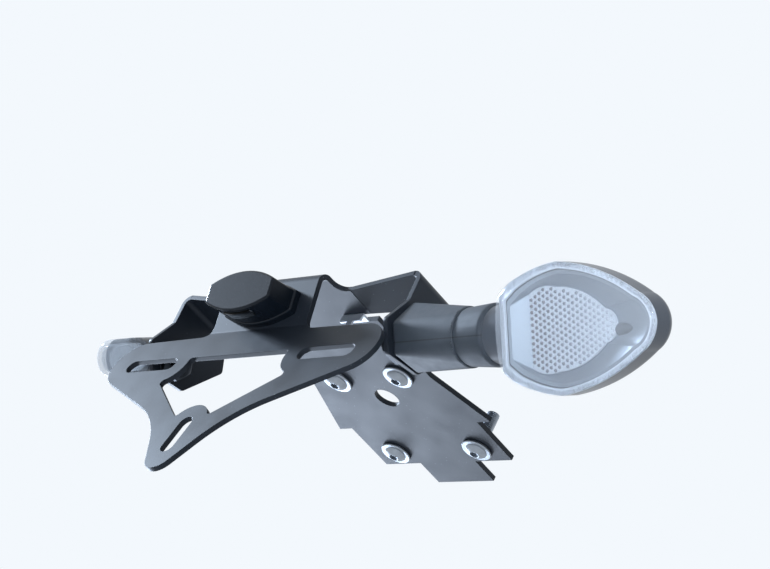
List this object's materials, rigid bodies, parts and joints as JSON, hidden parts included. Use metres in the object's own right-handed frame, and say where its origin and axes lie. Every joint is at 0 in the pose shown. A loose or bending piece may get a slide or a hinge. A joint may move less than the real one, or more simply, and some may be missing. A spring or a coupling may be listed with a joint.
{
  "type": "motorcycle tail tidy",
  "caption": "Folded black sheet bracket that bolts under a motorbike tail and carries a slotted number plate holder, a plate light and side indicator lamps.",
  "frame": {"origin": "midway between the rear pair of tail screws, on the bracket face that meets the tail", "axes": "+X to the rider's right, +Y forward along the tail, +Z out of the mounting face into the tail"},
  "size_m": [0.2723, 0.135, 0.1049],
  "materials": {
    "black_sheet": "fine satin black powder coat",
    "bright_steel": "bright zinc plated steel",
    "light_shell": "moulded satin black plastic",
    "clear_cover": "clear polished plastic",
    "prism_plate": "clear plastic with small moulded prisms",
    "circuit_board": "white solder mask",
    "rubber": "matt black moulded rubber",
    "lens_seal": "pale translucent silicone",
    "lamp_shell": "satin black plastic",
    "bright_dish": "metallised plastic",
    "bulb_glass": "amber tinted glass",
    "socket_plastic": "black moulded plastic",
    "dark_steel": "black zinc plated steel"
  },
  "bodies": {
    "root": {"main_bracket": "black_sheet", "tail_screws": "bright_steel", "tail_washers": "bright_steel", "lead_clips": "bright_steel", "plate_light_screws": "bright_steel", "plate_light_washers": "bright_steel", "plate_light_body": "light_shell", "plate_light_base": "light_shell", "plate_light_lens": "clear_cover", "right_lamp_lens": "clear_cover", "left_lamp_lens": "clear_cover", "right_lamp_optic": "prism_plate", "plate_light_board": "circuit_board", "left_lamp_board": "circuit_board", "right_lamp_base": "rubber", "right_lamp_sleeve": "rubber", "left_lamp_pad": "rubber", "right_lamp_gasket": "lens_seal", "right_lamp_housing": "lamp_shell", "left_lamp_body": "lamp_shell", "right_lamp_reflector": "bright_dish", "right_lamp_bulb": "bulb_glass", "right_lamp_bulb_holder": "socket_plastic", "right_lamp_stem": "dark_steel", "left_lamp_stem": "dark_steel", "right_lamp_washer": "dark_steel", "right_lamp_nut": "dark_steel", "left_lamp_washer": "dark_steel", "left_lamp_nut": "dark_steel"}
  },
  "joints": []
}
